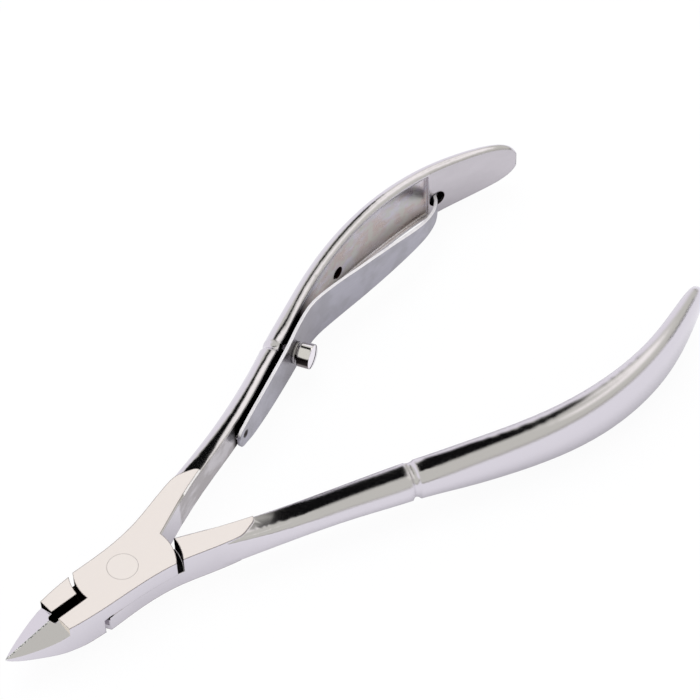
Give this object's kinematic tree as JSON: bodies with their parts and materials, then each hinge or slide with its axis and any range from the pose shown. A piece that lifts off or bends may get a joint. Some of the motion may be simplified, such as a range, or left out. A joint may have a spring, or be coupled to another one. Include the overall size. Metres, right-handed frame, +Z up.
{
  "type": "cuticle nipper",
  "caption": "Hand nipper with a lap joint, short pointed cutting jaws, two bowed grips and a leaf spring held on one grip by a headed stud.",
  "frame": {"origin": "on the pivot axis, at the flat underside of the joint", "axes": "+X runs back from the jaws to the grips, +Y is the side of the grip that carries the leaf spring, +Z is up along the pivot axis"},
  "size_m": [0.1162, 0.0534, 0.011],
  "materials": {
    "polished_steel": "polished",
    "spring_steel": "satin"
  },
  "bodies": {
    "plain_side": {"plain_half": "polished_steel", "joint_rivet": "polished_steel"},
    "spring_side": {"spring_half": "polished_steel", "spring_stud": "polished_steel"},
    "leaf": {"leaf_spring": "spring_steel", "stud_collar": "polished_steel"}
  },
  "joints": [
    {"name": "nipper_pivot", "type": "hinge", "parent": "plain_side", "child": "spring_side", "pos_m": [0, 0, 0.0027], "axis": [0, 0, 1], "range_deg": [0, 26]},
    {"name": "leaf_lift", "type": "hinge", "parent": "spring_side", "child": "leaf", "pos_m": [0.0283, 0.00945, 0.0027], "axis": [0, 0, -1], "range_deg": [0, 1]}
  ]
}
